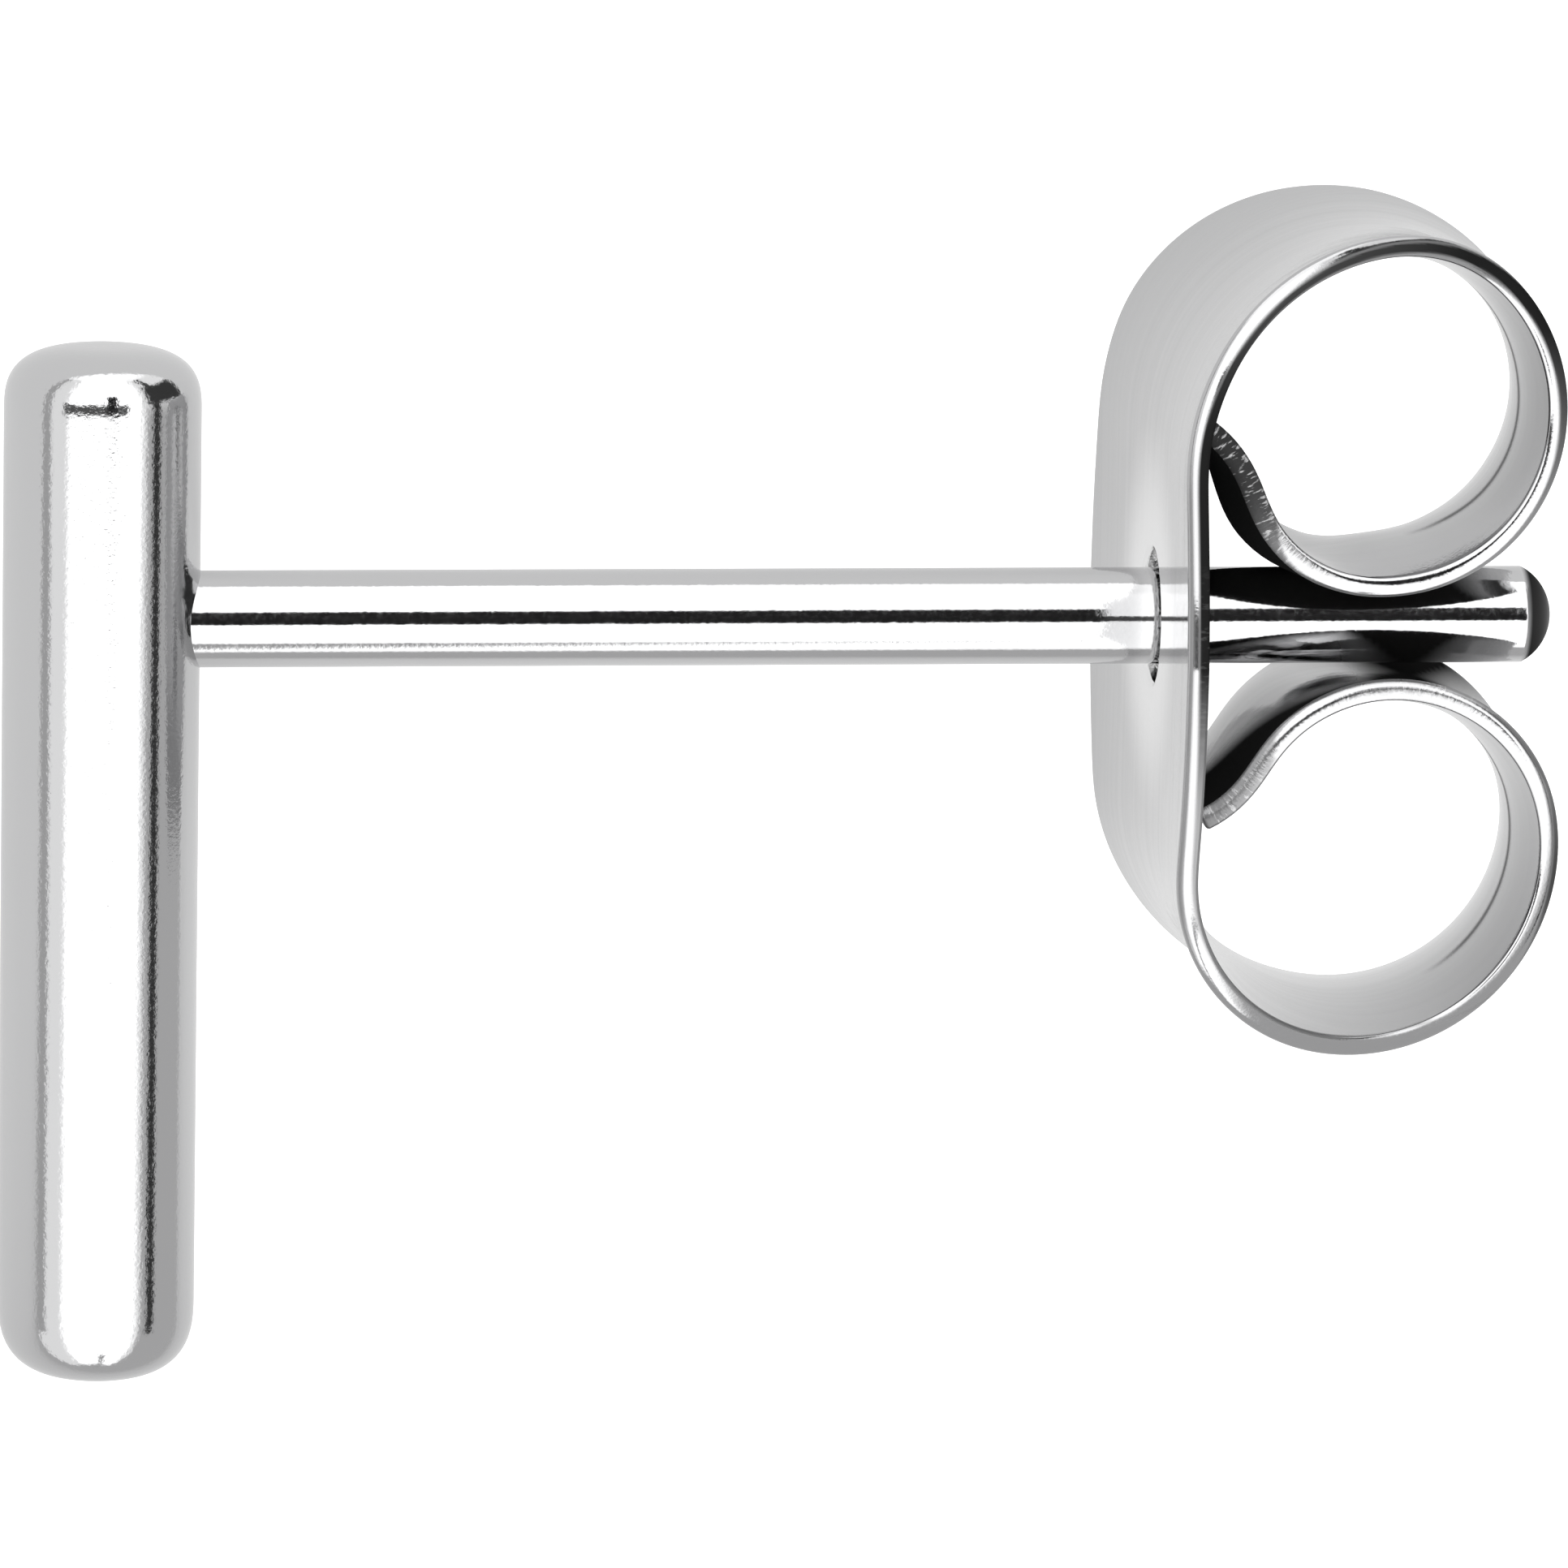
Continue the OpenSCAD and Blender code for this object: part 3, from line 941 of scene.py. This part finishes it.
@dataclass
class Studio:
    """Pale floor and the soft light round the earring.

    The floor glows evenly, and less toward the bar's foot, a painted fall into shade: floor_fall gives where
    along the bar, in mm, the fall ends and starts, and the share of the glow that is left. floor_lift whitens
    the floor itself in the picture. patches are laid over the even room in turn: bright soft boxes, dim
    stretches and dark cards.
    """

    floor_size: float = 4.0
    floor_color: Color = (0.26, 0.26, 0.26, 1.0)
    floor_rough: float = 0.9
    floor_glow: float = 0.56
    floor_lift: float = 0.6
    floor_fall: tuple[float, float, float] = (-14.0, -1.0, 0.4)
    backdrop: float = 1.0
    room: float = 0.62
    patches: tuple[Patch, ...] = field(
        default=(
            Patch(1.3, up=(5.0, 110.0), soft=30.0),
            Patch(1.22, side=(-82.0, 49.0), up=(-75.0, 82.0)),
            Patch(2.2, side=(-45.0, 42.0), up=(-75.0, 82.0), soft=9.0),
            Patch(1.9, up=(62.0, 100.0), soft=12.0),
            Patch(0.55, side=(-78.0, -67.0), up=(-22.0, 60.0), soft=3.0),
            Patch(0.05, side=(57.0, 67.0), up=(-22.0, 60.0), soft=3.0),
            Patch(0.06, side=(50.0, 103.0), up=(6.0, 40.0), soft=6.0),
            Patch(0.12, side=(-50.0, 26.0), up=(-4.8, 7.0), soft=3.0),
            Patch(0.02, side=(1.0, 13.0), up=(-6.0, 24.0), soft=2.0),
            Patch(0.5, side=(2.0, 12.0), up=(-95.0, -52.0), soft=5.0),
        )
    )
    key_power: float = 0.02
    key_size: float = 0.3
    key_height: float = 0.5

    def floor(self) -> None:
        """A plain pale square at height 0, which is no part of the object and glows a little."""
        half = self.floor_size / 2
        mesh = bpy.data.meshes.new("floor")
        corners = np.array([[-half, -half, 0], [half, -half, 0], [half, half, 0], [-half, half, 0]])
        mesh.from_pydata(corners, [], [[0, 1, 2, 3]])
        made = bpy.data.materials.new("pale_floor")
        made.use_nodes = True
        shader = made.node_tree.nodes["Principled BSDF"]
        shader.inputs["Base Color"].default_value = self.floor_color
        shader.inputs["Roughness"].default_value = self.floor_rough
        shader.inputs["Specular IOR Level"].default_value = 0.0
        shader.inputs["Emission Strength"].default_value = 1.0
        graph = Graph(made.node_tree)
        where = graph.node("ShaderNodeSeparateXYZ")
        graph.feed(where.inputs[0], graph.node("ShaderNodeTexCoord").outputs["Object"])
        # Painted shade on the floor: its glow falls toward the bar's foot.
        low, high, share = self.floor_fall
        glow = graph.ramp(where.outputs["Y"], low * MM, high * MM, self.floor_glow * share, self.floor_glow)
        seen = graph.node("ShaderNodeLightPath").outputs["Is Camera Ray"]
        lit = graph.math("MULTIPLY_ADD", seen, self.floor_lift, glow)
        graph.feed(shader.inputs["Emission Color"], lit)
        mesh.materials.append(made)
        obj = bpy.data.objects.new("floor", mesh)
        bpy.context.scene.collection.objects.link(obj)

    def _inside(self, graph: Graph, angle: Socket, limits: tuple[float, float], soft: float) -> Socket:
        """1 between two angles and 0 outside, with soft borders."""
        rise = graph.ramp(angle, limits[0] - soft / 2, limits[0] + soft / 2)
        fall = graph.ramp(angle, limits[1] - soft / 2, limits[1] + soft / 2, 1.0, 0.0)
        return graph.math("MULTIPLY", rise, fall)

    def surroundings(self) -> None:
        """The world: an even room, and over it each patch in turn, placed by two angles of the direction."""
        world = bpy.data.worlds.new("studio")
        bpy.context.scene.world = world
        world.use_nodes = True
        world.node_tree.nodes.clear()
        graph = Graph(world.node_tree)
        ray = graph.node("ShaderNodeTexCoord").outputs["Generated"]
        across, up, out = (
            graph.vector("DOT_PRODUCT", ray, tuple(axis)).outputs["Value"] for axis in POSE.axes
        )
        side_angle = graph.math("MULTIPLY", graph.math("ARCTAN2", across, out), 180 / math.pi)
        up_angle = graph.math("MULTIPLY", graph.math("ARCSINE", up), 180 / math.pi)
        level: object = self.room
        for patch in self.patches:
            mask = graph.math(
                "MULTIPLY",
                self._inside(graph, side_angle, patch.side, patch.soft),
                self._inside(graph, up_angle, patch.up, patch.soft),
            )
            mix = graph.node("ShaderNodeMix", data_type="FLOAT")
            graph.feed(mix.inputs[0], mask)
            graph.feed(mix.inputs[2], level)
            graph.feed(mix.inputs[3], patch.level)
            level = mix.outputs[0]
        seen = graph.node("ShaderNodeLightPath").outputs["Is Camera Ray"]
        final = graph.node("ShaderNodeMix", data_type="FLOAT")
        graph.feed(final.inputs[0], seen)
        graph.feed(final.inputs[2], level)
        graph.feed(final.inputs[3], self.backdrop)
        shine = graph.node("ShaderNodeBackground")
        graph.feed(shine.inputs["Color"], (1.0, 1.0, 1.0, 1.0))
        graph.feed(shine.inputs["Strength"], final.outputs[0])
        graph.feed(graph.node("ShaderNodeOutputWorld").inputs["Surface"], shine.outputs[0])

    def key(self) -> None:
        """One wide soft lamp high over the earring, for a faint shadow under it."""
        lamp = bpy.data.lights.new("key", "AREA")
        lamp.energy = self.key_power
        lamp.size = self.key_size
        obj = bpy.data.objects.new("key", lamp)
        obj.location = (-self.key_height / 2, self.key_height / 3, self.key_height)
        obj.rotation_euler = (-obj.location).to_track_quat("-Z", "Y").to_euler()
        obj.visible_glossy = False
        bpy.context.scene.collection.objects.link(obj)

    def build(self) -> None:
        """Sets floor, surroundings and lamp, and plain colour handling."""
        self.floor()
        self.surroundings()
        self.key()
        bpy.context.scene.view_settings.view_transform = "Standard"


@dataclass
class Viewpoint:
    """The camera. Angles in degrees, sizes in mm, in the earring's own frame."""

    side: float = 7.07
    above: float = 9.966
    roll: float = 0.928
    away: float = 121.77
    aim: tuple[float, float, float] = (5.73, -1.418, 0.0)
    sensor: float = 36.0
    pixels: float = 1932.0
    px_per_mm: float = 147.355
    nearest: float = 1.0

    def build(self) -> None:
        """Places the camera: toward the bar's side and its top end, level with the post."""
        a, e = math.radians(self.side), math.radians(self.above)
        back = np.array([-math.sin(a) * math.cos(e), math.sin(e), math.cos(a) * math.cos(e)])
        right = np.array([math.cos(a), 0.0, math.sin(a)])
        up = np.cross(back, right)
        c, s = math.cos(math.radians(self.roll)), math.sin(math.radians(self.roll))
        right, up = c * right + s * up, c * up - s * right
        place = POSE.place(np.array(self.aim) + self.away * back)
        turn = np.stack([right, up, back]) @ POSE.axes
        data = bpy.data.cameras.new("camera")
        data.sensor_width = self.sensor
        data.lens = self.px_per_mm * self.away / self.pixels * self.sensor
        data.clip_start = self.nearest * MM
        camera = bpy.data.objects.new("camera", data)
        rows = np.eye(4)
        rows[:3, :3] = turn.T
        rows[:3, 3] = place
        camera.matrix_world = Matrix(rows.tolist())
        bpy.context.scene.collection.objects.link(camera)
        bpy.context.scene.camera = camera


def main() -> None:
    """Builds the earring, the studio and the camera."""
    logging.basicConfig(level=logging.INFO, format="%(name)s: %(message)s")
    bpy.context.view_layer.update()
    drawn = PolishedSteel(name="drawn_steel", height=0.0005, ripple=3.0, darkens=True)
    BarAndPost().build(PolishedSteel(), drawn)
    Clutch().build(PressedSheet())
    Studio().build()
    Viewpoint().build()


if __name__ == "__main__":
    main()
